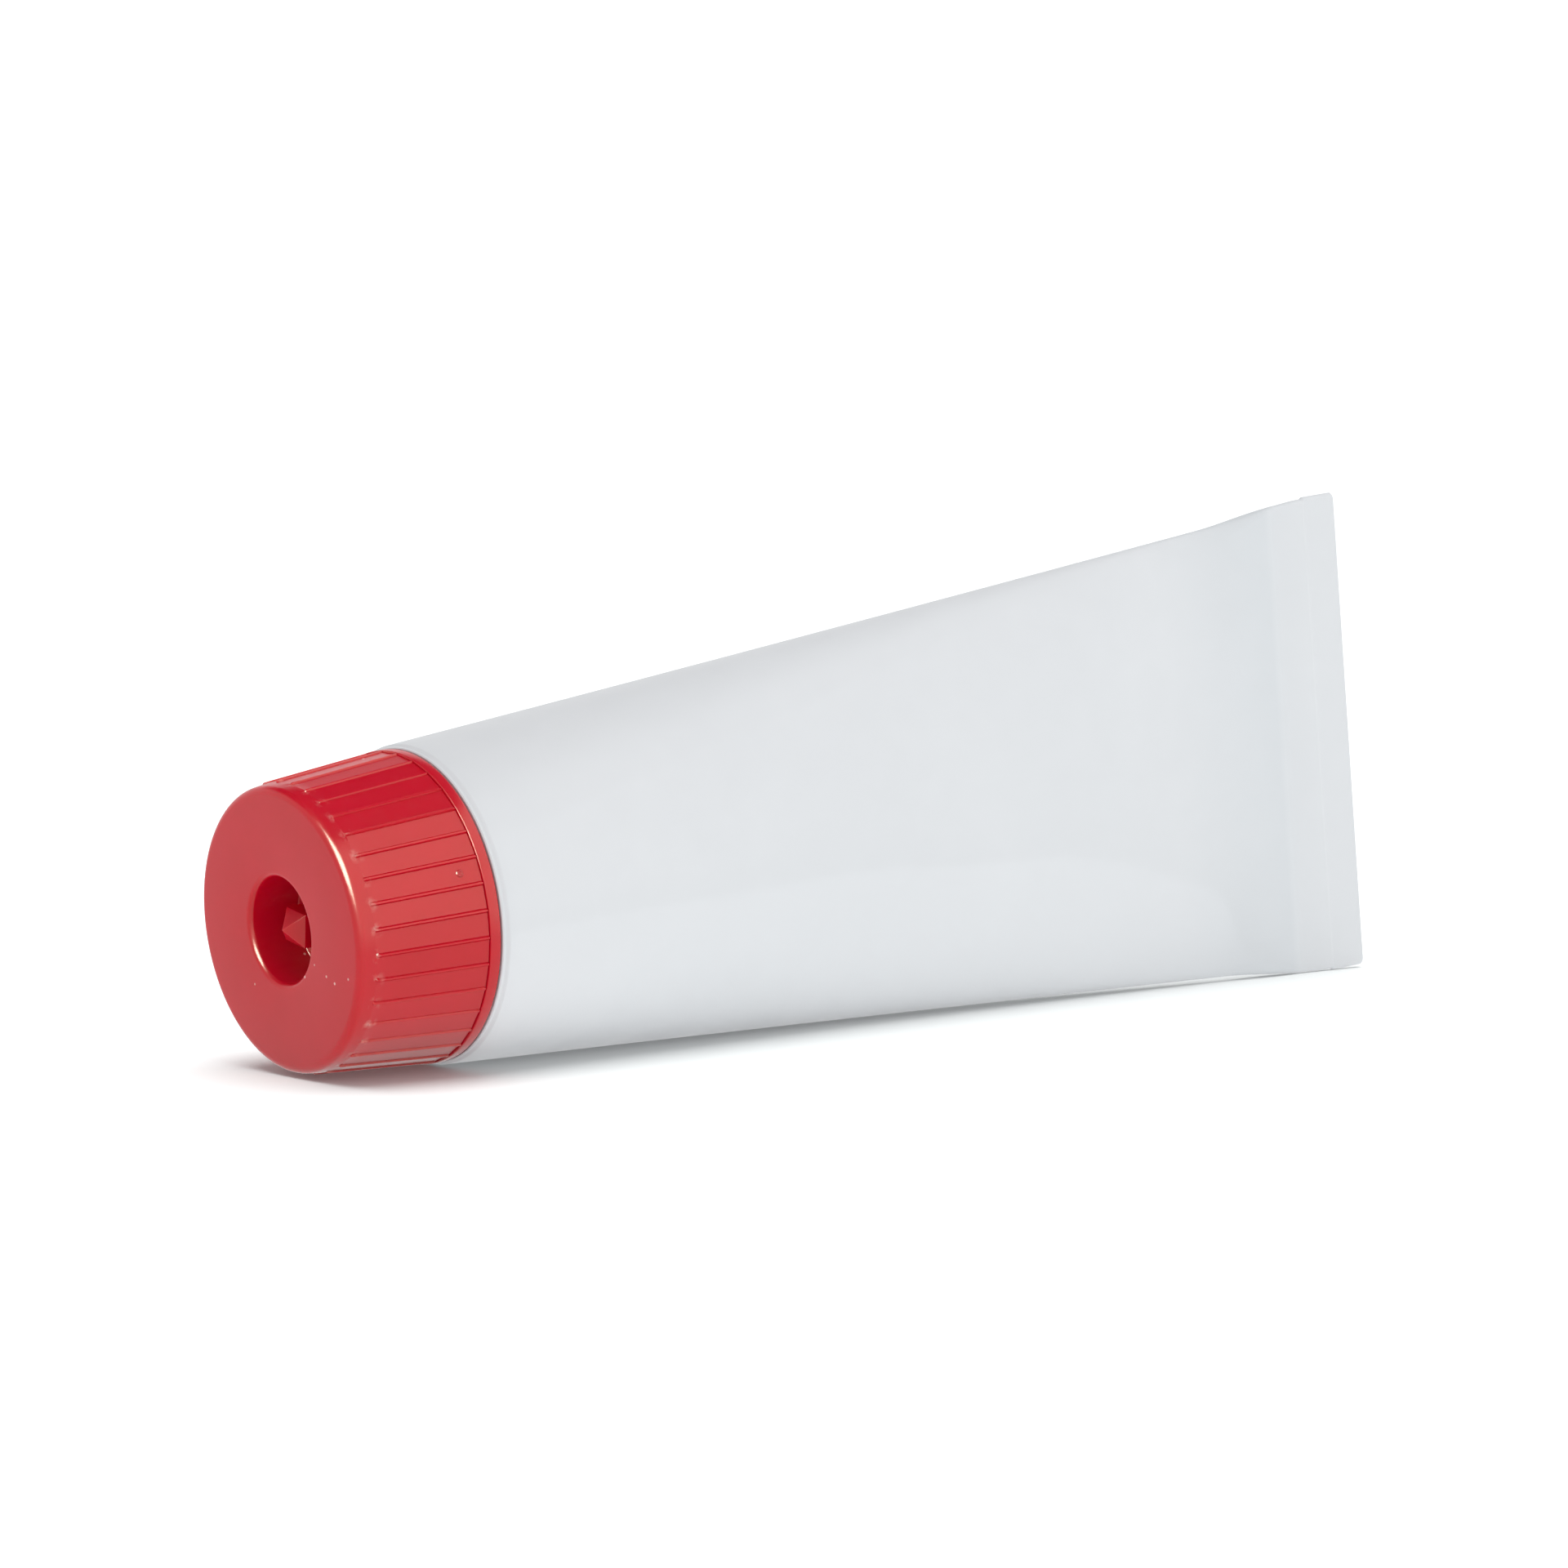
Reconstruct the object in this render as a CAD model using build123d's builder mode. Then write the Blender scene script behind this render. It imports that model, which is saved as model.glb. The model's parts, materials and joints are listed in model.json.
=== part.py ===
"""A paint tube with a ribbed screw cap, lying on its lower edge as it rests on a table.

Every lengthwise place is a distance in millimetres from the front face of the cap, measured along the
tube's own axis towards the sealed tail.  The row frame has +Z up, its floor at Z = 0, and its origin in
the middle of the floor under the tube.  The tube's axis lies in the XZ plane and rises towards the tail.
"""
from build123d import *

import os
from math import asin, atan2, cos, hypot, sin

# ---- driving dimensions ----

# sleeve: a round tube of plastic film, pressed flat and welded shut at the tail
sleeve_radius = 19.0
sleeve_front = 18.65
step_radius = 18.7
step_end = 19.25
edge_rounding = 0.3
lip_radius = 17.6
wall = 0.5
pinch_start = 129.0
pinch_half_thickness = 1.4
flare_start = 143.0
flat_start = 150.8
band_start = 155.6
band_thickness = 0.9
straight_half_width = 29.1
flare_half_width = 28.0
flat_half_width = 29.75
band_half_width = 30.15
tube_length = 160.4
hollow_end = 149.5
film_steps = 12

# head: one moulding with the shoulder that holds the sleeve round and the threaded nozzle
nozzle_front = 8.6
nozzle_radius = 5.35
nozzle_bore = 3.0
nozzle_chamfer = 0.4
shoulder_root = 17.5
shoulder_edge = 19.1
shoulder_thickness = 1.4
shoulder_rim = 18.2

# cap: one moulding with a skirt, a recessed front with a piercing spike, and a threaded boss inside
cap_length = 18.5
cap_front_radius = 17.0
cap_back_radius = 18.4
cap_rounding = 1.5
collar_front = 17.0
collar_radius = 18.6
collar_rounding = 0.3
facet_count = 36
facet_turn = 5.5
facet_depth = 0.05
rib_front = 2.4
rib_width = 0.3
rib_height = 0.12
front_plate = 1.7
skirt = 1.3
recess_radius = 6.2
recess_depth = 6.8
recess_rounding = 0.7
recess_floor = 1.0
boss_radius = 8.0
boss_bore = 6.3
boss_end = 17.0
spike_tip = 0.5
spike_tip_side = 0.3
spike_shoulder = 2.3
spike_side = 4.0
spike_foot_side = 4.3
spike_turn = 9.6

# screw thread between the nozzle and the cap's boss
thread_pitch = 3.0
thread_height = 0.75
thread_root = 1.2
thread_crest = 0.6
thread_embed = 0.2
thread_start = 9.6
nozzle_turns = 2.0
boss_turns = 1.5
boss_thread_lag = 0.92

# inner pieces
liner_radius = 6.15
liner_gap = 0.05
foil_radius = 4.9
foil_thickness = 0.1
paint_gap = 0.1
paint_end = 138.0

# ---- the lying pose ----

# The tube touches the floor with the rounded front edge of its sleeve and with the front end of the
# welded band across its tail, so the floor is the line from that end that just meets the rounding.
round_end = step_end + edge_rounding
span = band_start - round_end
drop = band_half_width - (sleeve_radius - edge_rounding)
lean = atan2(drop, span) - asin(edge_rounding / hypot(span, drop))
axis_height = band_half_width * cos(lean) - band_start * sin(lean)
front_reach = cap_rounding * (1 - cos(lean)) + (cap_front_radius - cap_rounding) * sin(lean)
tail_reach = tube_length * cos(lean) + band_half_width * sin(lean)

along = Vector(cos(lean), 0, sin(lean))
seal_direction = Vector(-sin(lean), 0, cos(lean))
cap_face = Vector((front_reach - tail_reach) / 2, 0, axis_height)
tube_axis = Axis(cap_face, along)
lengthwise = Plane(cap_face, x_dir=along, z_dir=(0, -1, 0))


def across(place):
    """The plane square to the tube at this place, with its x along the tail's seal."""
    return Plane(cap_face + along * place, x_dir=seal_direction, z_dir=along)


# ---- shared shapes ----


def film_tube(start, end, inset=0.0):
    """The solid inside the sleeve's outer surface between two places, drawn in by inset all round.

    Towards the tail the half width grows evenly and the half thickness shrinks evenly, until the film is
    pinched together over the last stretch before the flat seal.
    """
    with BuildPart() as body:
        for step in range(film_steps + 1):
            to_go = 1 - step / film_steps
            place = end - (end - start) * to_go**2
            share = (place - round_end) / (flat_start - round_end)
            half_width = sleeve_radius + (straight_half_width - sleeve_radius) * share
            pinch = max(place - pinch_start, 0) / (flat_start - pinch_start)
            straight_half_thickness = sleeve_radius + (pinch_half_thickness - sleeve_radius) * share
            half_thickness = straight_half_thickness - (pinch_half_thickness - wall) * pinch**2
            with BuildSketch(across(place)):
                Ellipse(half_width - inset, half_thickness - inset)
        loft(ruled=True)
    return body.part


def turned(profile):
    """The ring or disc that a closed outline of (place, radius) points makes round the tube's axis."""
    with BuildPart() as ring:
        with BuildSketch(lengthwise):
            with BuildLine():
                Polyline(*profile, close=True)
            make_face()
        revolve(axis=tube_axis)
    return ring.part


def thread_ridge(start, turns, wall_radius, height):
    """A helical ridge on a round wall: outwards for a positive height, inwards for a negative one."""
    centre = cap_face + along * start
    embed = thread_embed if height < 0 else -thread_embed
    with BuildPart() as ridge:
        with BuildLine() as path:
            Helix(thread_pitch, turns * thread_pitch, wall_radius, center=centre, direction=along)
        first_point = path.line @ 0
        outwards = (first_point - centre).normalized()
        with BuildSketch(Plane(first_point, x_dir=outwards, z_dir=path.line % 0)):
            with BuildLine():
                Polyline(
                    (embed, -thread_root / 2),
                    (0, -thread_root / 2),
                    (height, -thread_crest / 2),
                    (height, thread_crest / 2),
                    (0, thread_root / 2),
                    (embed, thread_root / 2),
                    close=True,
                )
            make_face()
        sweep(path=path.line, is_frenet=True)
    return ridge.part


def save(part, name):
    """Label a finished sub-part and write it to the parts folder."""
    part.label = name
    export_step(part, f"parts/{name}.step")


os.makedirs("parts", exist_ok=True)

# ---- sleeve: the film tube with its rolled front edge and its pressed tail seal ----

with BuildPart() as sleeve:
    add(film_tube(round_end, flat_start))
    # the front edge steps down to a lip that rolls in over the rim of the shoulder
    with BuildSketch(lengthwise):
        with BuildLine():
            Polyline(
                (round_end, sleeve_radius),
                (round_end, lip_radius),
                (sleeve_front, lip_radius),
                (sleeve_front, step_radius),
                (step_end, step_radius),
            )
            RadiusArc((step_end, step_radius), (round_end, sleeve_radius), edge_rounding)
        make_face()
    revolve(axis=tube_axis)
    # the film flares out to the flat tail, where its two sides lie on each other between folded edges
    for place, half_width in (
        (flare_start, flare_half_width),
        (flat_start, flat_half_width),
        (band_start, flat_half_width),
    ):
        with BuildSketch(across(place)):
            SlotOverall(2 * half_width, 2 * wall)
    loft(ruled=True)
    # the welded band across the tail
    with BuildSketch(across(band_start)):
        SlotOverall(2 * band_half_width, band_thickness)
    extrude(amount=tube_length - band_start)
    add(film_tube(round_end, hollow_end, inset=wall), mode=Mode.SUBTRACT)
save(sleeve.part, "sleeve")

# ---- head: the shoulder inside the sleeve's front, and the threaded nozzle ----

nozzle_thread = thread_ridge(thread_start, nozzle_turns, nozzle_radius, thread_height)
shoulder_back = shoulder_root + shoulder_thickness
rim_back = round_end + shoulder_thickness

with BuildPart() as head:
    with BuildSketch(lengthwise):
        with BuildLine():
            Polyline(
                (nozzle_front, nozzle_bore),
                (nozzle_front, nozzle_radius - nozzle_chamfer),
                (nozzle_front + nozzle_chamfer, nozzle_radius),
                (shoulder_root, nozzle_radius),
                (shoulder_edge, lip_radius),
                (round_end, lip_radius),
                (round_end, shoulder_rim),
                (rim_back, shoulder_rim),
                (shoulder_back, nozzle_bore),
                close=True,
            )
        make_face()
    revolve(axis=tube_axis)
    add(nozzle_thread)
save(head.part, "shoulder_and_nozzle")

# ---- foil seal: the membrane across the nozzle's mouth, which the cap's spike pierces ----

with BuildPart() as foil_seal:
    with BuildSketch(across(nozzle_front - foil_thickness)):
        Circle(foil_radius)
    extrude(amount=foil_thickness)
save(foil_seal.part, "nozzle_foil_seal")

# ---- paint: what fills the sleeve from the shoulder to the empty space before the seal ----

paint_front = rim_back + paint_gap
paint_nose = turned(
    [
        (shoulder_back + paint_gap, 0),
        (shoulder_back + paint_gap, nozzle_bore),
        (paint_front, shoulder_rim - paint_gap),
        (paint_front, 0),
    ]
)

with BuildPart() as paint:
    add(film_tube(paint_front, paint_end, inset=wall + paint_gap))
    add(paint_nose)
    with BuildSketch(across(nozzle_front)):
        Circle(nozzle_bore - paint_gap)
    extrude(amount=paint_front - nozzle_front)
save(paint.part, "paint")

# ---- cap ----

inner_end = recess_depth + recess_floor
skirt_inside = turned(
    [
        (inner_end, 0),
        (inner_end, boss_bore),
        (boss_end, boss_bore),
        (boss_end, boss_radius),
        (front_plate, boss_radius),
        (front_plate, cap_front_radius - skirt),
        (cap_length, cap_back_radius - skirt),
        (cap_length, 0),
    ]
)
boss_thread = thread_ridge(
    thread_start + boss_thread_lag, boss_turns, boss_bore, -thread_height
)

# one of the fine ribs that run along the corners between the facets, made round the Z axis
rib_slope = (cap_back_radius - cap_front_radius) / collar_front
with BuildPart() as rib:
    for place in (rib_front, collar_front):
        with BuildSketch(Plane.XY.offset(place)):
            with Locations((cap_front_radius + rib_slope * place, 0)):
                Rectangle(2 * rib_height, rib_width)
    loft()

with BuildPart() as cap:
    # the skirt's outside: a slender cone with a rounded front, cut to flat facets
    with BuildSketch(lengthwise) as cone:
        with BuildLine():
            Polyline(
                (0, 0),
                (0, cap_front_radius),
                (collar_front, cap_back_radius),
                (collar_front, 0),
                close=True,
            )
        make_face()
        fillet(cone.vertices().group_by(Axis.X)[0].sort_by(Axis.Y)[-1], cap_rounding)
    revolve(axis=tube_axis)
    for place, radius in ((0, cap_front_radius), (collar_front, cap_back_radius)):
        with BuildSketch(across(place)):
            RegularPolygon(radius - facet_depth, facet_count, rotation=facet_turn)
    loft(mode=Mode.INTERSECT)
    with Locations(across(0)):
        with PolarLocations(0, facet_count, start_angle=facet_turn):
            add(rib.part)
    with BuildSketch(across(collar_front)):
        Circle(collar_radius)
    extrude(amount=cap_length - collar_front)
    back_edge = cap.edges().filter_by(GeomType.CIRCLE).sort_by(tube_axis)[-1]
    fillet(back_edge, collar_rounding)
    # inside: the hollow skirt round the boss, and the recess in the front
    add(skirt_inside, mode=Mode.SUBTRACT)
    with BuildSketch(across(0)):
        Circle(recess_radius)
    extrude(amount=recess_depth, mode=Mode.SUBTRACT)
    front_circles = cap.edges().filter_by(GeomType.CIRCLE).group_by(tube_axis)[0]
    fillet(front_circles.sort_by(SortBy.RADIUS)[0], recess_rounding)
    # the piercing spike, a square pyramid on a square post that stands on the recess floor
    with BuildSketch(across(recess_depth)) as foot:
        Rectangle(spike_foot_side, spike_foot_side, rotation=spike_turn)
    with BuildSketch(across(spike_shoulder)) as shoulder:
        Rectangle(spike_side, spike_side, rotation=spike_turn)
    with BuildSketch(across(spike_tip)) as tip:
        Rectangle(spike_tip_side, spike_tip_side, rotation=spike_turn)
    loft([foot.sketch, shoulder.sketch])
    loft([shoulder.sketch, tip.sketch])
    add(boss_thread)
save(cap.part, "screw_cap")

# ---- liner: the soft disc in the boss that presses on the nozzle's mouth ----

with BuildPart() as liner:
    with BuildSketch(across(inner_end + liner_gap)):
        Circle(liner_radius)
    extrude(amount=nozzle_front - foil_thickness - inner_end - 2 * liner_gap)
save(liner.part, "cap_liner")
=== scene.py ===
"""Looks for a blank white paint tube with a ribbed crimson screw cap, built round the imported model.

Lengths are millimetres in the tube's own directions: along is the distance from the cap's front face
towards the tail, up runs with the tail's seal, and near is square to both.  point() turns them into
metres in the row frame.  Materials, lamps and the camera use metres and the row frame's directions.
"""

import json
from math import cos, pi, radians, sin, sqrt

import bmesh
import bpy
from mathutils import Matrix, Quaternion, Vector, noise


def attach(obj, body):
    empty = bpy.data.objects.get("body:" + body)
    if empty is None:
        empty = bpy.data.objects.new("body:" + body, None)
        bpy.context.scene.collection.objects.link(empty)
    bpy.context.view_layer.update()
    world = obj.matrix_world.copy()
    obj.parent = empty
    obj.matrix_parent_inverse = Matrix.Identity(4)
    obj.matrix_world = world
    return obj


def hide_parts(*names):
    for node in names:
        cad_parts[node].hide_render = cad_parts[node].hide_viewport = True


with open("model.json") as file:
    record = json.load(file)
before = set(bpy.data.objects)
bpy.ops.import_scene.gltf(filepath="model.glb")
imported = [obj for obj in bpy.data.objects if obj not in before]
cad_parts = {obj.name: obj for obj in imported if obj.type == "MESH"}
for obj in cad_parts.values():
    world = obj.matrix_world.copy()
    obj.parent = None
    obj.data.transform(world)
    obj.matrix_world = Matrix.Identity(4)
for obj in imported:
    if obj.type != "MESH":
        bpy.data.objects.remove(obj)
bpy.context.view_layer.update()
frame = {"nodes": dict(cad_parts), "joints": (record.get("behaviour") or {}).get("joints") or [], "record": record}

MM = 0.001

# ---- places from the frame ----

cap_turn = next(joint for joint in frame["joints"] if joint["name"] == "cap_turn")
cap_face_mount = next(mount for mount in frame["record"]["mounts"] if mount["name"] == "cap_face")
ALONG = -Vector(cap_turn["axis"]).normalized()
UP = Vector((-ALONG.z, 0, ALONG.x))
NEAR = Vector((0, -1, 0))
axis_point = Vector(cap_turn["pos_m"])
CAP_FACE = axis_point + ALONG * (Vector(cap_face_mount["pos_m"]) - axis_point).dot(ALONG)


def point(along, up=0.0, near=0.0):
    """A place on the tube, in metres in the row frame."""
    return CAP_FACE + (ALONG * along + UP * up + NEAR * near) * MM


def span(node, direction):
    """How far a CAD node reaches each way along a direction from the cap's face, in millimetres."""
    reach = [(vertex.co - CAP_FACE).dot(direction) for vertex in frame["nodes"][node].data.vertices]
    return min(reach) / MM, max(reach) / MM


sleeve_front, tube_length = span("sleeve", ALONG)
sleeve_radius = span("sleeve", NEAR)[1]
band_half_width = span("sleeve", UP)[1]
cap_length = span("screw_cap", ALONG)[1]
collar_radius = span("screw_cap", NEAR)[1]

# ---- sizes that the looks add ----

# sleeve
wall = 0.5
round_end = sleeve_front + 0.9
step_length = 0.65
edge_chamfer = 0.12
step_radius = sleeve_radius - 0.3
lip_radius = 17.6
hollow_least_half_thickness = 0.05
pinch_start = tube_length - 31
pinch_half_thickness = 1.4
tail_rounding = 0.35
flare_start = tube_length - 22
flat_start = tube_length - 10
flattening_start = flat_start - 14
band_start = tube_length - 4.8
hollow_end = flat_start - 1.3
straight_half_width = 29.1
flat_half_width = 29.6
band_half_thickness = 0.45
# the film spreads a little further over the flat tail, up to the step where the band is pressed
tail_spread = 0.33
tail_spread_start = flat_start - 1
band_step_front = band_start - 0.3
band_step_back = band_start + 0.1
sleeve_columns = 240
# unevenness of the filled film: heights, and how often it changes per millimetre
swell_height = 0.12
swell_scale = 0.03
dimple_height = 0.03
dimple_scale = 0.11
dimple_shift = Vector((7, 3, 5))
# it fades in behind the round end and out before the flat tail
uneven_from = round_end + 12
uneven_until = flat_start - 6

# cap
facet_count = 36
facet_turn = 5.5
cap_front_radius = 17.12
cap_back_radius = 18.4
cap_rounding = 1.1
chamfer_end = 2.25
chamfer_drop = 0.2
collar_front = 17.0
collar_front_rounding = 0.12
collar_back_rounding = 0.3
collar_back_width = 1.5
groove_width = 0.12
groove_depth = 0.2
rib_half_width = 0.1
rib_height = 0.15
crease_offset = 0.2
crease_depth = 0.06
rib_foot = 0.28
# how much the cap's radius grows per millimetre along the facets
facet_slope = (cap_back_radius - cap_front_radius) / (collar_front - chamfer_end)
face_recess_radius = 6.3
recess_rounding = 0.7
recess_floor_rounding = 0.25
recess_depth = 6.8
spike_tip = 0.5
spike_tip_side = 0.2
spike_tip_rounding = 0.04
spike_shoulder = 2.3
spike_side = 4.0
spike_foot_side = 4.3
spike_sink = 0.2
spike_turn = 9.6
spike_edge_rounding = 0.06
# where the pale rubs and painted highlights at the rib fronts lie along the cap
rub_highlight_start = 1.5
rub_highlight_end = 3.4
gate_mark_place = 14.4
gate_mark_turn = 70.5
gate_mark_radius = 0.42
gate_mark_columns = 24

# inside of the cap
front_plate = 1.7
skirt_inner_radius = 15.75
inner_floor = 7.8
boss_radius = 8.0
boss_bore = 6.3
boss_end = 17.0
# the smallest ring of the recess's floor and of the inner floor
innermost_radius = 0.3
thread_start = 10.52
thread_pitch = 3.0
thread_turns = 1.5
thread_height = 0.75
thread_root = 1.15
thread_crest = 0.6
thread_sink = 0.1
thread_steps = 72

# materials: noise patterns mostly stay between these two values
NOISE_LOW = 0.3
NOISE_HIGH = 0.7


# ---- small helpers ----


def ease(low, high, value):
    """0 below low, 1 above high, and a smooth step between them."""
    share = min(max((value - low) / (high - low), 0.0), 1.0)
    return share * share * (3 - 2 * share)


def spread(start, end, count):
    """Evenly spaced places from start to end."""
    return [start + (end - start) * step / (count - 1) for step in range(count)]


def arc(centre_along, centre_radius, radius, start, end, steps):
    """Points (along, radius) on an arc; angles in degrees, 0 towards the tail and 90 outwards."""
    angles = [radians(start + (end - start) * step / steps) for step in range(steps + 1)]
    return [(centre_along + radius * cos(a), centre_radius + radius * sin(a)) for a in angles]


def turn_faces_outwards(mesh):
    """Give a closed mesh normals that all point out of it."""
    skin = bmesh.new()
    skin.from_mesh(mesh)
    bmesh.ops.recalc_face_normals(skin, faces=skin.faces)
    skin.to_mesh(mesh)
    skin.free()


def ring_mesh(name, rings):
    """A mesh through rings of equally many points, with its two ends closed by one face each."""
    count = len(rings[0])
    vertices = [vertex for ring in rings for vertex in ring]
    faces = []
    for row in range(len(rings) - 1):
        for column in range(count):
            after = (column + 1) % count
            faces.append(
                (
                    row * count + column,
                    row * count + after,
                    (row + 1) * count + after,
                    (row + 1) * count + column,
                )
            )
    faces.append(tuple(reversed(range(count))))
    faces.append(tuple(range((len(rings) - 1) * count, len(rings) * count)))
    mesh = bpy.data.meshes.new(name)
    mesh.from_pydata(vertices, [], faces)
    mesh.validate()
    turn_faces_outwards(mesh)
    return mesh


def add_piece(name, mesh, body, material, sharp_angle):
    """Link a mesh as a smooth-shaded piece that rides on a CAD body."""
    piece = bpy.data.objects.new(name, mesh)
    bpy.context.scene.collection.objects.link(piece)
    mesh.shade_smooth()
    mesh.set_sharp_from_angle(angle=radians(sharp_angle))
    mesh.materials.append(material)
    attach(piece, body)
    return piece


# ---- materials ----


def new_material(name):
    """A node material, with its node tree, its shader and a coordinate source in metres."""
    material = bpy.data.materials.new(name)
    material.use_nodes = True
    tree = material.node_tree
    shader = tree.nodes["Principled BSDF"]
    coordinates = tree.nodes.new("ShaderNodeTexCoord")
    return material, tree, shader, coordinates.outputs["Object"]


def add_noise(tree, coordinates, scale, detail):
    """A noise pattern with this many features per metre and this many finer layers."""
    pattern = tree.nodes.new("ShaderNodeTexNoise")
    pattern.inputs["Scale"].default_value = scale
    pattern.inputs["Detail"].default_value = detail
    tree.links.new(coordinates, pattern.inputs["Vector"])
    return pattern.outputs["Fac"]


def grey(level):
    """A neutral colour."""
    return (level, level, level)


def add_ramp(tree, value, stops):
    """A colour ramp from a value, with stops given as (position, colour)."""
    ramp = tree.nodes.new("ShaderNodeValToRGB")
    elements = ramp.color_ramp.elements
    while len(elements) < len(stops):
        elements.new(0.5)
    for element, (position, colour) in zip(elements, stops):
        element.position = position
        element.color = (*colour, 1.0)
    tree.links.new(value, ramp.inputs["Fac"])
    return ramp.outputs["Color"]


def add_mottle(tree, pattern, first, second):
    """A colour that drifts between two with a noise pattern."""
    return add_ramp(tree, pattern, [(NOISE_LOW, first), (NOISE_HIGH, second)])


def add_range(tree, value, low, high, from_low=NOISE_LOW, from_high=NOISE_HIGH):
    """A value mapped to a new range, by default from the range that noise patterns mostly stay in."""
    mapping = tree.nodes.new("ShaderNodeMapRange")
    mapping.inputs["From Min"].default_value = from_low
    mapping.inputs["From Max"].default_value = from_high
    mapping.inputs["To Min"].default_value = low
    mapping.inputs["To Max"].default_value = high
    tree.links.new(value, mapping.inputs["Value"])
    return mapping.outputs["Result"]


def add_math(tree, operation, first, second):
    """A number from two others, each a socket or a fixed value."""
    math = tree.nodes.new("ShaderNodeMath")
    math.operation = operation
    for value, socket in zip((first, second), math.inputs):
        if isinstance(value, (int, float)):
            socket.default_value = value
        else:
            tree.links.new(value, socket)
    return math.outputs["Value"]


def add_product(tree, first, second):
    """Two masks multiplied."""
    return add_math(tree, "MULTIPLY", first, second)


def add_vector_step(tree, operation, vector, fixed):
    """A vector operation between a vector and a fixed one."""
    step = tree.nodes.new("ShaderNodeVectorMath")
    step.operation = operation
    step.inputs[1].default_value = fixed
    tree.links.new(vector, step.inputs[0])
    return step


def add_place(tree, coordinates, start, end):
    """How far a point lies between two places along the tube, from 0 to 1."""
    along = add_vector_step(tree, "DOT_PRODUCT", coordinates, ALONG).outputs["Value"]
    low, high = (point(place).dot(ALONG) for place in (start, end))
    return add_range(tree, along, 0.0, 1.0, low, high)


def add_mix(tree, mask, first, second):
    """A colour that changes to a second, fixed one where the mask is 1."""
    mix = tree.nodes.new("ShaderNodeMix")
    mix.data_type = "RGBA"
    tree.links.new(mask, mix.inputs["Factor"])
    tree.links.new(first, mix.inputs["A"])
    mix.inputs["B"].default_value = (*second, 1.0)
    return mix.outputs["Result"]


def add_specks(tree, coordinates):
    """A mask with a few dust specks, about a third of a millimetre wide, in one cell out of ten."""
    cells_per_metre = 500
    cells = tree.nodes.new("ShaderNodeTexVoronoi")
    cells.inputs["Scale"].default_value = cells_per_metre
    tree.links.new(coordinates, cells.inputs["Vector"])
    chosen = tree.nodes.new("ShaderNodeSeparateColor")
    tree.links.new(cells.outputs["Color"], chosen.inputs["Color"])
    few = add_range(tree, chosen.outputs["Red"], 0.0, 1.0, from_low=0.9, from_high=0.905)
    close = add_range(tree, cells.outputs["Distance"], 1.0, 0.0, from_low=0.05, from_high=0.11)
    return add_product(tree, few, close)


def add_rubs_and_highlights(tree, coordinates):
    """A mask of small pale marks at the front ends of the cap's ribs: rubs, and painted highlight where the ribs
    start.
    """
    place = add_place(tree, coordinates, rub_highlight_start, rub_highlight_end)
    fade = [(0.0, grey(0.0)), (0.35, grey(1.0)), (0.55, grey(0.7)), (1.0, grey(0.0))]
    rub_highlight_band = add_ramp(tree, place, fade)
    from_face = add_vector_step(tree, "SUBTRACT", coordinates, CAP_FACE).outputs["Vector"]
    from_axis = add_vector_step(tree, "CROSS_PRODUCT", from_face, ALONG).outputs["Vector"]
    radius = add_vector_step(tree, "LENGTH", from_axis, (0, 0, 0)).outputs["Value"]
    skin_start = (cap_front_radius - 1) * MM
    skin_end = (cap_front_radius - 0.5) * MM
    outside = add_range(tree, radius, 0.0, 1.0, from_low=skin_start, from_high=skin_end)
    up = add_vector_step(tree, "DOT_PRODUCT", from_face, UP).outputs["Value"]
    near = add_vector_step(tree, "DOT_PRODUCT", from_face, NEAR).outputs["Value"]
    turn = add_math(tree, "ARCTAN2", near, up)
    facets_round = add_math(tree, "MULTIPLY", turn, facet_count / (2 * pi))
    from_corner = add_math(tree, "SUBTRACT", facets_round, facet_turn * facet_count / 360)
    off_rib = add_math(tree, "PINGPONG", from_corner, 0.5)
    at_rib = add_range(tree, off_rib, 1.0, 0.0, from_low=0.02, from_high=0.34)
    pattern = add_noise(tree, coordinates, 1000, 4)
    patches = add_range(tree, pattern, 0.0, 0.9, from_low=0.48, from_high=0.68)
    on_edge = add_product(tree, rub_highlight_band, outside)
    return add_product(tree, on_edge, add_product(tree, at_rib, patches))


def add_bump(tree, shader, height, distance, strength=1.0):
    """Surface relief of this depth in metres."""
    bump = tree.nodes.new("ShaderNodeBump")
    bump.inputs["Distance"].default_value = distance
    bump.inputs["Strength"].default_value = strength
    tree.links.new(height, bump.inputs["Height"])
    tree.links.new(bump.outputs["Normal"], shader.inputs["Normal"])


def film_material():
    """White polyethylene film: satin, faintly mottled, with painted shade that makes it a little greyer where it
    pinches in before the flat tail.
    """
    material, tree, shader, coordinates = new_material("white_film")
    mottle = add_noise(tree, coordinates, 45, 3)
    film = add_mottle(tree, mottle, (0.588, 0.600, 0.619), (0.602, 0.614, 0.633))
    place = add_place(tree, coordinates, pinch_start, band_start)
    # painted shade where the film pinches in, strongest just before the flat tail
    flat = (flat_start - pinch_start) / (band_start - pinch_start)
    # the ramp stops of the painted shade along the tube
    empty = [(0.0, grey(0.0)), (flat - 0.06, grey(1.0)), (flat + 0.02, grey(0.15)), (1.0, grey(0.0))]
    pinch_shaded_film = add_mix(tree, add_ramp(tree, place, empty), film, (0.546, 0.566, 0.588))
    tree.links.new(pinch_shaded_film, shader.inputs["Base Color"])
    haze = add_noise(tree, coordinates, 300, 5)
    tree.links.new(add_range(tree, haze, 0.38, 0.5), shader.inputs["Roughness"])
    add_bump(tree, shader, add_noise(tree, coordinates, 2500, 3), 0.00001, 0.5)
    return material


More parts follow.
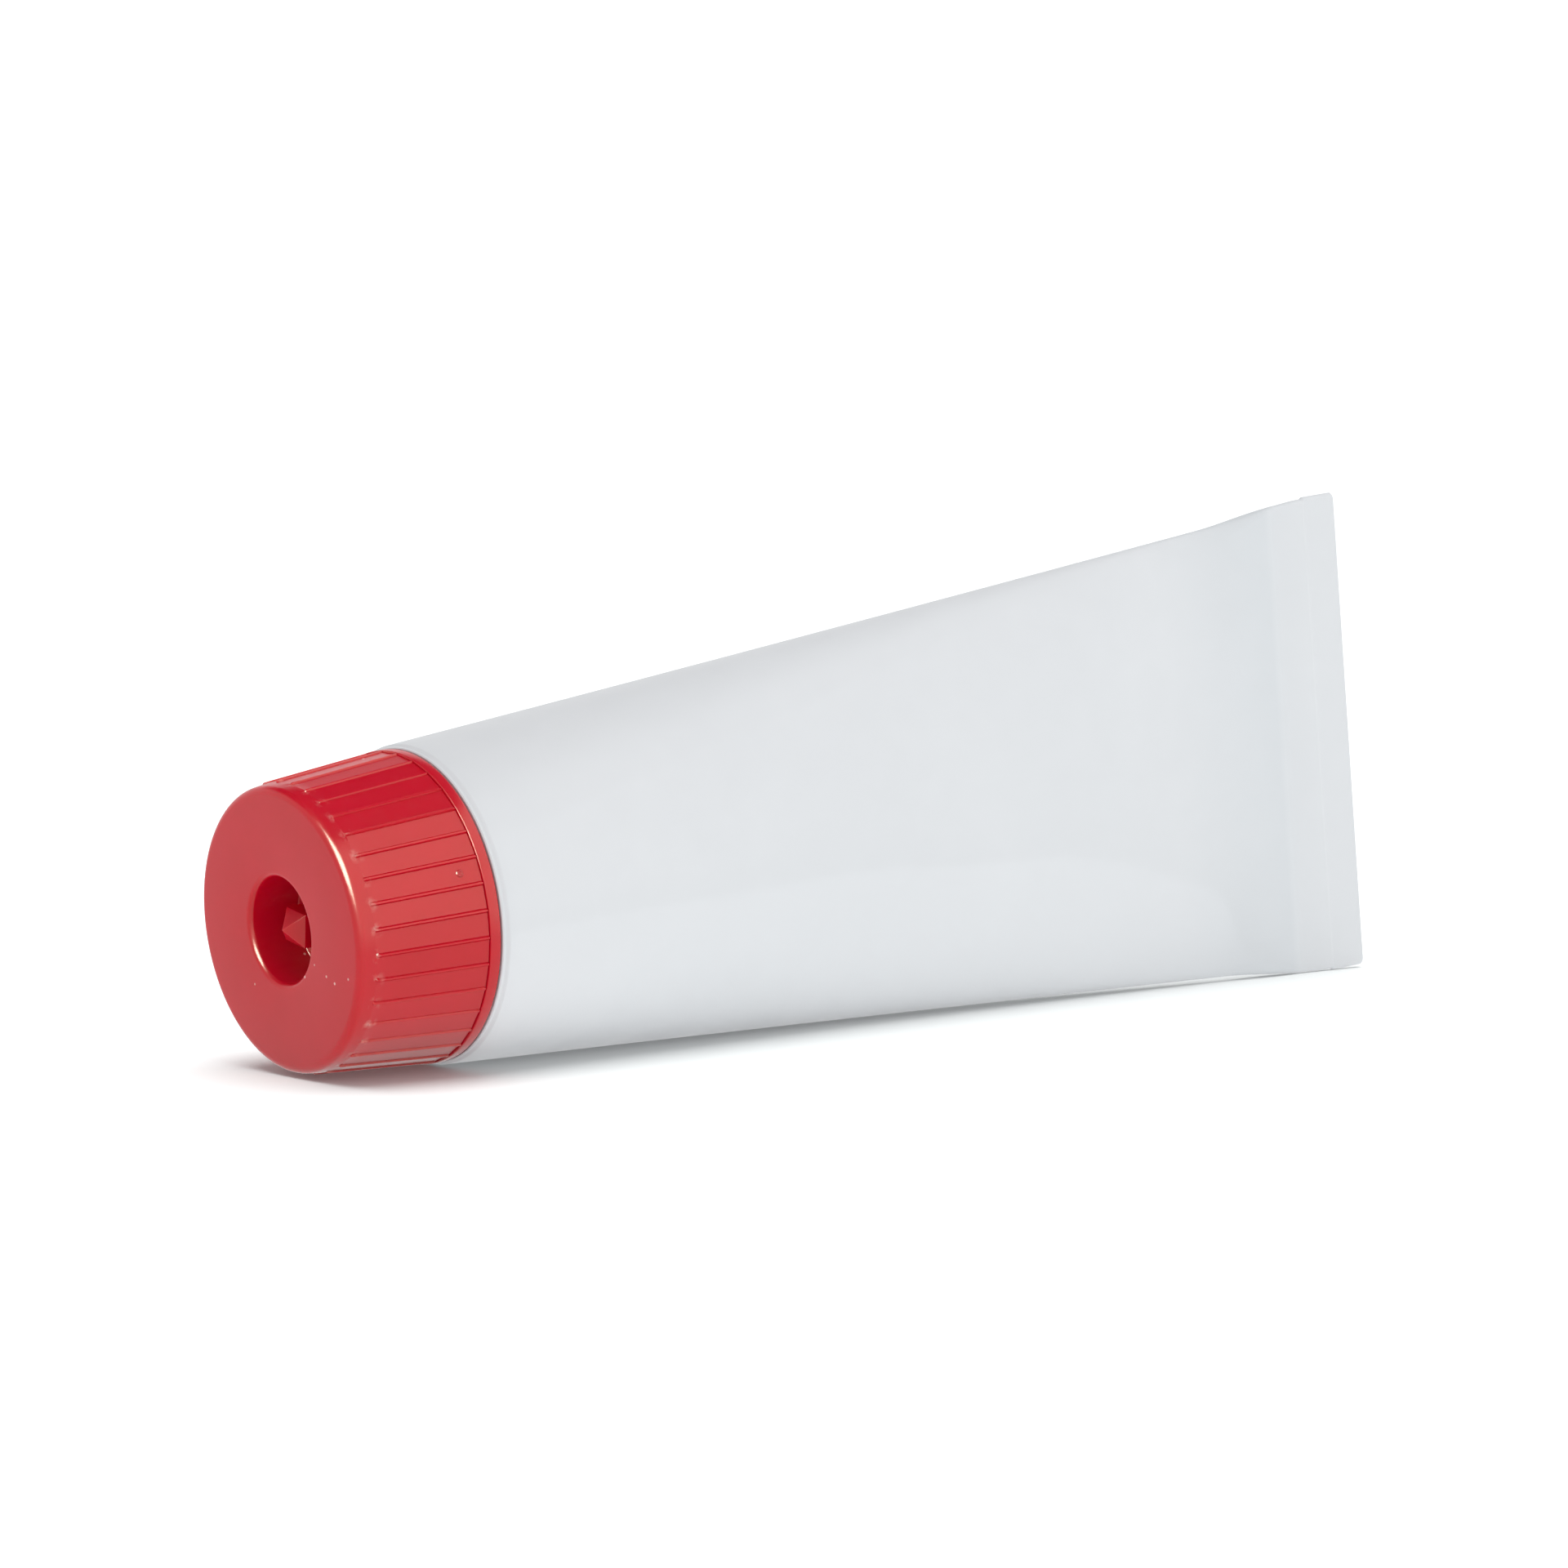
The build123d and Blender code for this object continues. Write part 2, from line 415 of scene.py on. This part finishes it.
def cap_material():
    """Crimson moulded polypropylene: a little translucent, with pale specks, and pale rubs with painted highlight
    at its ribs.
    """
    material, tree, shader, coordinates = new_material("crimson_plastic")
    flow = add_noise(tree, coordinates, 160, 4)
    plastic = add_mottle(tree, flow, (0.49, 0.0, 0.015), (0.52, 0.0, 0.018))
    # pale rubs and painted highlight at the front ends of the ribs
    rubbed_and_highlit = add_mix(tree, add_rubs_and_highlights(tree, coordinates), plastic, (0.64, 0.24, 0.22))
    dusted = add_mix(tree, add_specks(tree, coordinates), rubbed_and_highlit, (0.75, 0.45, 0.42))
    tree.links.new(dusted, shader.inputs["Base Color"])
    shader.inputs["Specular Tint"].default_value = (1.0, 0.96, 0.72, 1.0)
    shader.inputs["Subsurface Weight"].default_value = 0.3
    shader.inputs["Subsurface Radius"].default_value = (1.0, 0.05, 0.1)
    shader.inputs["Subsurface Scale"].default_value = 0.003
    haze = add_noise(tree, coordinates, 900, 6)
    tree.links.new(add_range(tree, haze, 0.22, 0.27), shader.inputs["Roughness"])
    add_bump(tree, shader, add_noise(tree, coordinates, 1200, 3), 0.000002, 0.5)
    return material


def head_material():
    """Natural white moulded polyethylene of the shoulder and the nozzle."""
    material, tree, shader, coordinates = new_material("head_plastic_white")
    flow = add_noise(tree, coordinates, 120, 4)
    colour = add_mottle(tree, flow, (0.70, 0.70, 0.68), (0.78, 0.78, 0.76))
    tree.links.new(colour, shader.inputs["Base Color"])
    tree.links.new(add_range(tree, flow, 0.35, 0.5), shader.inputs["Roughness"])
    add_bump(tree, shader, add_noise(tree, coordinates, 3000, 3), 0.00001, 0.5)
    return material


def foil_material():
    """Thin bright foil, slightly crumpled."""
    material, tree, shader, coordinates = new_material("seal_foil_bright")
    crumple = add_noise(tree, coordinates, 700, 5)
    colour = add_mottle(tree, crumple, (0.62, 0.62, 0.63), (0.8, 0.8, 0.81))
    tree.links.new(colour, shader.inputs["Base Color"])
    tree.links.new(add_range(tree, crumple, 0.2, 0.4), shader.inputs["Roughness"])
    shader.inputs["Metallic"].default_value = 1.0
    add_bump(tree, shader, crumple, 0.0001)
    return material


def paint_material():
    """Wet crimson paint with soft streaks."""
    material, tree, shader, coordinates = new_material("wet_crimson_paint")
    streaks = add_noise(tree, coordinates, 200, 5)
    colour = add_mottle(tree, streaks, (0.32, 0.002, 0.01), (0.42, 0.004, 0.016))
    tree.links.new(colour, shader.inputs["Base Color"])
    tree.links.new(add_range(tree, streaks, 0.12, 0.25), shader.inputs["Roughness"])
    add_bump(tree, shader, streaks, 0.0002)
    return material


def liner_material():
    """Pale closed-cell foam of the cap's liner."""
    material, tree, shader, coordinates = new_material("liner_foam_pale")
    cells = add_noise(tree, coordinates, 2000, 4)
    colour = add_mottle(tree, cells, (0.72, 0.72, 0.69), (0.82, 0.82, 0.8))
    tree.links.new(colour, shader.inputs["Base Color"])
    tree.links.new(add_range(tree, cells, 0.6, 0.8), shader.inputs["Roughness"])
    add_bump(tree, shader, cells, 0.00005)
    return material


# ---- sleeve ----


def sleeve_half_width(along):
    """Half the sleeve's size along the seal: a straight cone that flares out to the flat tail."""
    share = (along - round_end) / (flat_start - round_end)
    cone = sleeve_radius + (straight_half_width - sleeve_radius) * min(share, 1.0)
    flare = (flat_half_width - straight_half_width) * ease(flare_start, flat_start, along)
    tail = tail_spread * ease(tail_spread_start, band_step_front, along)
    band_rise = band_half_width - flat_half_width - tail_spread
    band = band_rise * ease(band_step_front, band_step_back, along)
    return cone + flare + tail + band


def sleeve_half_thickness(along):
    """Half the sleeve's thickness: an even taper that is pinched together before the flat tail."""
    share = min((along - round_end) / (flat_start - round_end), 1.0)
    pinch = min(max((along - pinch_start) / (flat_start - pinch_start), 0.0), 1.0)
    taper = sleeve_radius + (pinch_half_thickness - sleeve_radius) * share
    pressed = (wall - band_half_thickness) * ease(band_step_front, band_step_back, along)
    return taper - (pinch_half_thickness - wall) * pinch**2 - pressed


def tail_corner(along):
    """How far the rounded corners of the tail draw the half width in."""
    over = along - (tube_length - tail_rounding)
    if over <= 0:
        return 0.0
    return tail_rounding - sqrt(max(tail_rounding**2 - over**2, 0.0))


def sleeve_ring(along, half_width, half_thickness):
    """One section of the sleeve: an ellipse that turns into a flat strip with round edges."""
    flatness = ease(flattening_start, flat_start, along)
    ring = []
    for column in range(sleeve_columns):
        turn = 2 * pi * column / sleeve_columns
        up = half_width * cos(turn)
        past_edge = max(abs(up) - (half_width - half_thickness), 0.0) / half_thickness
        strip = sqrt(max(1 - min(past_edge, 1.0) ** 2, 0.0))
        side = 1 if sin(turn) >= 0 else -1
        near = half_thickness * side * ((1 - flatness) * abs(sin(turn)) + flatness * strip)
        ring.append((along, up, near))
    return ring


def soften(ring):
    """Move each point of a ring by the slight unevenness of filled film."""
    uneven = []
    for along, up, near in ring:
        place = Vector((along, up, near))
        swell = noise.noise(place * swell_scale)
        dimple = noise.noise(place * dimple_scale + dimple_shift)
        fade = ease(round_end, uneven_from, along) * (1 - ease(uneven_until, flat_start, along))
        push = (swell_height * swell + dimple_height * dimple) * fade
        radius = sqrt(up * up + near * near) or 1.0
        uneven.append((along, up, near + push * near / radius))
    return uneven


def make_sleeve():
    """The film tube: its outside, its rolled front edge and its inner side, as one closed skin."""
    # start, end, how many rings
    stretches = (
        (tube_length, tube_length - tail_rounding, 7),
        (tube_length - 1.2, band_start + 0.2, 5),
        (band_step_back, band_step_front, 6),
        (band_start - 0.6, flat_start, 8),
        (flat_start - 0.4, flare_start, 26),
        (flare_start - 1, round_end, 90),
    )
    rings = []
    for start, end, count in stretches:
        for along in spread(start, end, count):
            half_width = sleeve_half_width(along) - tail_corner(along)
            rings.append(soften(sleeve_ring(along, half_width, sleeve_half_thickness(along))))
    front = []
    for share in spread(0.1, 1.0, 10):
        drop = (sleeve_radius - step_radius) * ease(0, 1, share)
        front.append((round_end - step_length * share, sleeve_radius - drop))
    front += [(sleeve_front + edge_chamfer, step_radius), (sleeve_front, step_radius - edge_chamfer)]
    front += [(sleeve_front, lip_radius), (round_end, lip_radius)]
    for along, radius in front:
        rings.append(sleeve_ring(along, radius, radius))
    for along in spread(round_end, hollow_end, 40):
        half_thickness = max(sleeve_half_thickness(along) - wall, hollow_least_half_thickness)
        rings.append(sleeve_ring(along, sleeve_half_width(along) - wall, half_thickness))
    rings = [[point(*place) for place in ring] for ring in rings]
    mesh = ring_mesh("white_sleeve", rings)
    piece = add_piece("white_sleeve", mesh, "tube", film_material(), 40)
    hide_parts("sleeve")
    return piece


# ---- cap ----


def cap_columns():
    """Places round the cap as (degrees from a corner, corner's degrees, height over the facet)."""
    sector = 360 / facet_count
    offsets = [(rib_half_width, rib_height), (crease_offset, -crease_depth), (rib_foot, 0.0)]
    across_rib = [(distance / cap_back_radius * 180 / pi, height) for distance, height in offsets]
    foot = across_rib[-1][0]
    across_facet = [(foot + (sector - 2 * foot) * share, 0.0) for share in (0.33, 0.67)]
    before_next = [(sector - offset, height) for offset, height in reversed(across_rib)]
    columns = []
    for facet in range(facet_count):
        corner = facet_turn + facet * sector
        for offset, height in across_rib + across_facet + before_next:
            columns.append((offset, corner, height))
    return columns


def cap_ring(along, radius, faceted, columns):
    """One ring of the cap: round where faceted is 0, and a ribbed polygon where it is 1."""
    half_sector = radians(180 / facet_count)
    ring = []
    for offset, corner, height in columns:
        flat = radius * cos(half_sector) / cos(radians(offset) - half_sector)
        reach = radius + (flat + height - radius) * faceted
        turn = radians(corner + offset)
        ring.append(point(along, reach * cos(turn), reach * sin(turn)))
    return ring


def cap_profile():
    """The cap's outline as (along, radius, faceted), from the recess floor round to the inner floor."""
    floor_place = recess_depth - recess_floor_rounding
    floor_reach = face_recess_radius - recess_floor_rounding
    outline = [(recess_depth, innermost_radius)]
    outline += arc(floor_place, floor_reach, recess_floor_rounding, 0, 90, 4)
    outline += arc(recess_rounding, face_recess_radius + recess_rounding, recess_rounding, 270, 180, 8)
    chamfer_radius = cap_front_radius - chamfer_drop
    outline += arc(cap_rounding, chamfer_radius - cap_rounding, cap_rounding, 180, 100, 10)
    outline = [(along, radius, 0.0) for along, radius in outline]
    outline += [(chamfer_end - 0.1, cap_front_radius - 0.05, 0.0), (chamfer_end, cap_front_radius, 0.7)]
    for along in spread(chamfer_end + 0.1, collar_front - groove_width, 12):
        outline.append((along, cap_front_radius + facet_slope * (along - chamfer_end), 1.0))
    groove_radius = cap_back_radius - groove_depth
    rim = [(collar_front - groove_width / 2, groove_radius), (collar_front, groove_radius)]
    front, back = collar_front_rounding, collar_back_rounding
    rim += arc(collar_front + front, collar_radius - front, front, 180, 90, 4)
    rim += arc(cap_length - back, collar_radius - back, back, 90, 0, 5)
    rim += [(cap_length, collar_radius - collar_back_width), (front_plate, skirt_inner_radius)]
    rim += [(front_plate, boss_radius), (boss_end, boss_radius), (boss_end, boss_bore)]
    rim += [(inner_floor, boss_bore), (inner_floor, innermost_radius)]
    return outline + [(along, radius, 0.0) for along, radius in rim]


def make_cap():
    """The screw cap: facets with fine ribs between them, collar, recess, skirt and boss."""
    columns = cap_columns()
    rings = [cap_ring(along, radius, faceted, columns) for along, radius, faceted in cap_profile()]
    mesh = ring_mesh("crimson_cap", rings)
    piece = add_piece("crimson_cap", mesh, "cap", cap_plastic, 28)
    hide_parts("screw_cap")
    return piece


def add_piece_bevel(piece, width):
    """Round a piece's edges by this many millimetres."""
    bevel = piece.modifiers.new("rounded_edges", "BEVEL")
    bevel.width = width * MM
    bevel.segments = 3
    bevel.limit_method = "ANGLE"


def make_spike():
    """The four-sided piercing spike in the cap's recess, on its square post."""
    sections = (
        (recess_depth + spike_sink, spike_foot_side),
        (spike_shoulder, spike_side),
        (spike_tip, spike_tip_side),
        (spike_tip - spike_tip_rounding, spike_tip_side / 2),
    )
    rings = []
    for along, side in sections:
        reach = side / sqrt(2)
        turns = [radians(spike_turn + 45 - 90 * corner) for corner in range(4)]
        rings.append([point(along, reach * cos(turn), reach * sin(turn)) for turn in turns])
    mesh = ring_mesh("piercing_spike", rings)
    piece = add_piece("piercing_spike", mesh, "cap", cap_plastic, 20)
    add_piece_bevel(piece, spike_edge_rounding)
    return piece


def make_boss_thread():
    """The thread inside the cap's boss, tapering out at both ends."""
    last = round(thread_turns * thread_steps)
    taper = thread_steps / 12
    root = boss_bore + thread_sink
    rings = []
    for step in range(last + 1):
        turn = 2 * pi * step / thread_steps
        centre = thread_start + thread_pitch * step / thread_steps
        crest = boss_bore - thread_height * ease(0, taper, min(step, last - step))
        section = [
            (centre - thread_root / 2, root),
            (centre - thread_crest / 2, crest),
            (centre + thread_crest / 2, crest),
            (centre + thread_root / 2, root),
        ]
        rings.append([point(along, reach * cos(turn), reach * sin(turn)) for along, reach in section])
    mesh = ring_mesh("boss_thread", rings)
    piece = add_piece("boss_thread", mesh, "cap", cap_plastic, 30)
    return piece


def make_gate_mark():
    """The small round scar that the mould's gate leaves on one facet."""
    outwards = UP * cos(radians(gate_mark_turn)) + NEAR * sin(radians(gate_mark_turn))
    sideways = ALONG.cross(outwards)
    corner_radius = cap_back_radius - facet_slope * (collar_front - gate_mark_place)
    centre = point(gate_mark_place) + outwards * corner_radius * cos(pi / facet_count) * MM
    # share of the radius, height over the facet
    profile = [(1.25, -0.05), (1.0, 0.05), (0.8, 0.1), (0.55, 0.06), (0.3, -0.02), (0.05, -0.03)]
    rings = []
    for share, height in profile:
        ring = []
        for column in range(gate_mark_columns):
            turn = 2 * pi * column / gate_mark_columns
            reach = share * gate_mark_radius * MM
            around = ALONG * cos(turn) * reach + sideways * sin(turn) * reach
            ring.append(centre + around + outwards * height * MM)
        rings.append(ring)
    mesh = ring_mesh("gate_mark", rings)
    piece = add_piece("gate_mark", mesh, "cap", cap_plastic, 60)
    return piece


# ---- stage ----


def make_floor():
    """A wide pale floor."""
    reach = 8.0
    mesh = bpy.data.meshes.new("floor")
    corners = [(-reach, -reach, 0), (reach, -reach, 0), (reach, reach, 0), (-reach, reach, 0)]
    mesh.from_pydata(corners, [], [(0, 1, 2, 3)])
    floor = bpy.data.objects.new("floor", mesh)
    bpy.context.scene.collection.objects.link(floor)
    material, _, shader, _ = new_material("pale_floor")
    shader.inputs["Base Color"].default_value = (0.525, 0.54, 0.54, 1.0)
    shader.inputs["Emission Color"].default_value = (1.0, 1.0, 1.0, 1.0)
    shader.inputs["Emission Strength"].default_value = 0.07
    shader.inputs["Roughness"].default_value = 0.8
    shader.inputs["Specular IOR Level"].default_value = 0.1
    mesh.materials.append(material)
    # reflections show the world's table instead of the floor
    floor.visible_glossy = False
    return floor


def add_background(tree, value, stops, strength):
    """A background whose brightness follows a value."""
    background = tree.nodes.new("ShaderNodeBackground")
    background.inputs["Strength"].default_value = strength
    tree.links.new(add_ramp(tree, value, stops), background.inputs["Color"])
    return background.outputs["Background"]


def add_shader_mix(tree, mask, first, second):
    """A shader that changes to a second one where the mask is 1."""
    mix = tree.nodes.new("ShaderNodeMixShader")
    tree.links.new(mask, mix.inputs["Fac"])
    tree.links.new(first, mix.inputs[1])
    tree.links.new(second, mix.inputs[2])
    return mix.outputs["Shader"]


def make_world():
    """A white tent round the table; its reflections show a bright front and a dark opening overhead."""
    world = bpy.data.worlds.new("studio")
    bpy.context.scene.world = world
    world.use_nodes = True
    tree = world.node_tree
    direction = tree.nodes.new("ShaderNodeTexCoord").outputs["Generated"]
    # how far a direction points to the front right of the table, from 0 to 1
    towards_front = add_vector_step(tree, "DOT_PRODUCT", direction, (0.57, -0.80, 0.15))
    front = add_range(tree, towards_front.outputs["Value"], 0.0, 1.0, from_low=-1.0, from_high=1.0)
    upwards = add_vector_step(tree, "DOT_PRODUCT", direction, (0, 0, 1))
    above_table = add_range(tree, upwards.outputs["Value"], 0.0, 1.0, from_low=-0.25, from_high=-0.05)
    tilt = radians(18)
    to_opening = add_vector_step(tree, "DOT_PRODUCT", direction, (0, sin(tilt), cos(tilt)))
    overhead = add_range(tree, to_opening.outputs["Value"], 0.0, 1.0, from_low=0.69, from_high=0.81)
    tent = add_background(tree, front, [(0.0, grey(0.55)), (1.0, grey(1.0))], strength=0.98)
    walls = add_background(tree, front, [(0.4, grey(0.4)), (0.62, grey(1.0))], strength=2.3)
    table = add_background(tree, front, [(0.4, grey(0.82)), (0.62, grey(1.0))], strength=1.12)
    opening = add_background(tree, front, [(0.0, grey(0.02)), (1.0, grey(0.02))], strength=1.0)
    reflections = add_shader_mix(tree, above_table, table, walls)
    reflections = add_shader_mix(tree, overhead, reflections, opening)
    ray = tree.nodes.new("ShaderNodeLightPath")
    both = add_shader_mix(tree, ray.outputs["Is Glossy Ray"], tent, reflections)
    tree.links.new(both, tree.nodes["World Output"].inputs["Surface"])


def add_soft_light(name, direction, power):
    """A broad soft light from a direction that leaves no highlight."""
    light = bpy.data.lights.new(name, "SUN")
    light.energy = power
    light.angle = radians(60)
    lamp = bpy.data.objects.new(name, light)
    bpy.context.scene.collection.objects.link(lamp)
    lamp.rotation_euler = Vector(direction).to_track_quat("Z", "Y").to_euler()
    lamp.visible_glossy = False
    return lamp


def make_group(name, pieces):
    """A collection of pieces for a lamp's light linking."""
    group = bpy.data.collections.new(name)
    for piece in pieces:
        group.objects.link(piece)
    return group


def light_only(lamp, pieces, blockers=()):
    """Let a lamp reach these pieces and nothing else; with blockers, only those cast shadows in it."""
    lamp.light_linking.receiver_collection = make_group("lit_by_" + lamp.name, pieces)
    if blockers:
        lamp.light_linking.blocker_collection = make_group("shading_" + lamp.name, blockers)


def add_highlight(name, direction, distance, size, power):
    """A square light that faces the cap from a direction and shows only as a highlight on gloss."""
    light = bpy.data.lights.new(name, "AREA")
    light.size = size
    light.energy = power
    lamp = bpy.data.objects.new(name, light)
    bpy.context.scene.collection.objects.link(lamp)
    towards = Vector(direction).normalized()
    lamp.location = CAP_FACE + towards * distance
    lamp.rotation_euler = towards.to_track_quat("Z", "Y").to_euler()
    lamp.visible_diffuse = False
    lamp.visible_camera = False
    return lamp


def make_camera():
    """A long lens, looking down a little at the cap's end of the tube."""
    azimuth, elevation, roll = radians(-35.889), radians(6.083), radians(-0.449)
    target = point(73.06, 6.18)
    distance = 1.0654
    back = Vector((sin(azimuth) * cos(elevation), -cos(azimuth) * cos(elevation), sin(elevation)))
    data = bpy.data.cameras.new("camera")
    data.sensor_width = 36.0
    data.lens = 203.15
    camera = bpy.data.objects.new("camera", data)
    bpy.context.scene.collection.objects.link(camera)
    camera.location = target + back * distance
    camera.rotation_mode = "QUATERNION"
    camera.rotation_quaternion = back.to_track_quat("Z", "Y") @ Quaternion((0, 0, 1), roll)
    data.clip_end = 50
    bpy.context.scene.camera = camera


# ---- the scene ----

make_camera()
make_world()
add_soft_light("top_light", (0, 0, 1), power=1.2)
light_only(add_soft_light("floor_light", (0, 0, 1), power=3.6), [make_floor()])
bpy.context.scene.view_settings.view_transform = "Standard"

cap_plastic = cap_material()
sleeve = make_sleeve()
cap = make_cap()
spike = make_spike()
make_boss_thread()
gate_mark = make_gate_mark()
low_light = add_soft_light("low_light", (0.3, -0.4, -0.87), power=0.85)
light_only(low_light, [sleeve], blockers=[sleeve, cap])
left_highlight = add_highlight("left_highlight", (-0.71, -0.40, 0.57), distance=1.0, size=0.66, power=46.0)
light_only(left_highlight, [cap, spike, gate_mark])
for node, node_material in (
    ("shoulder_and_nozzle", head_material()),
    ("nozzle_foil_seal", foil_material()),
    ("paint", paint_material()),
    ("cap_liner", liner_material()),
):
    materials = frame["nodes"][node].data.materials
    materials.clear()
    materials.append(node_material)
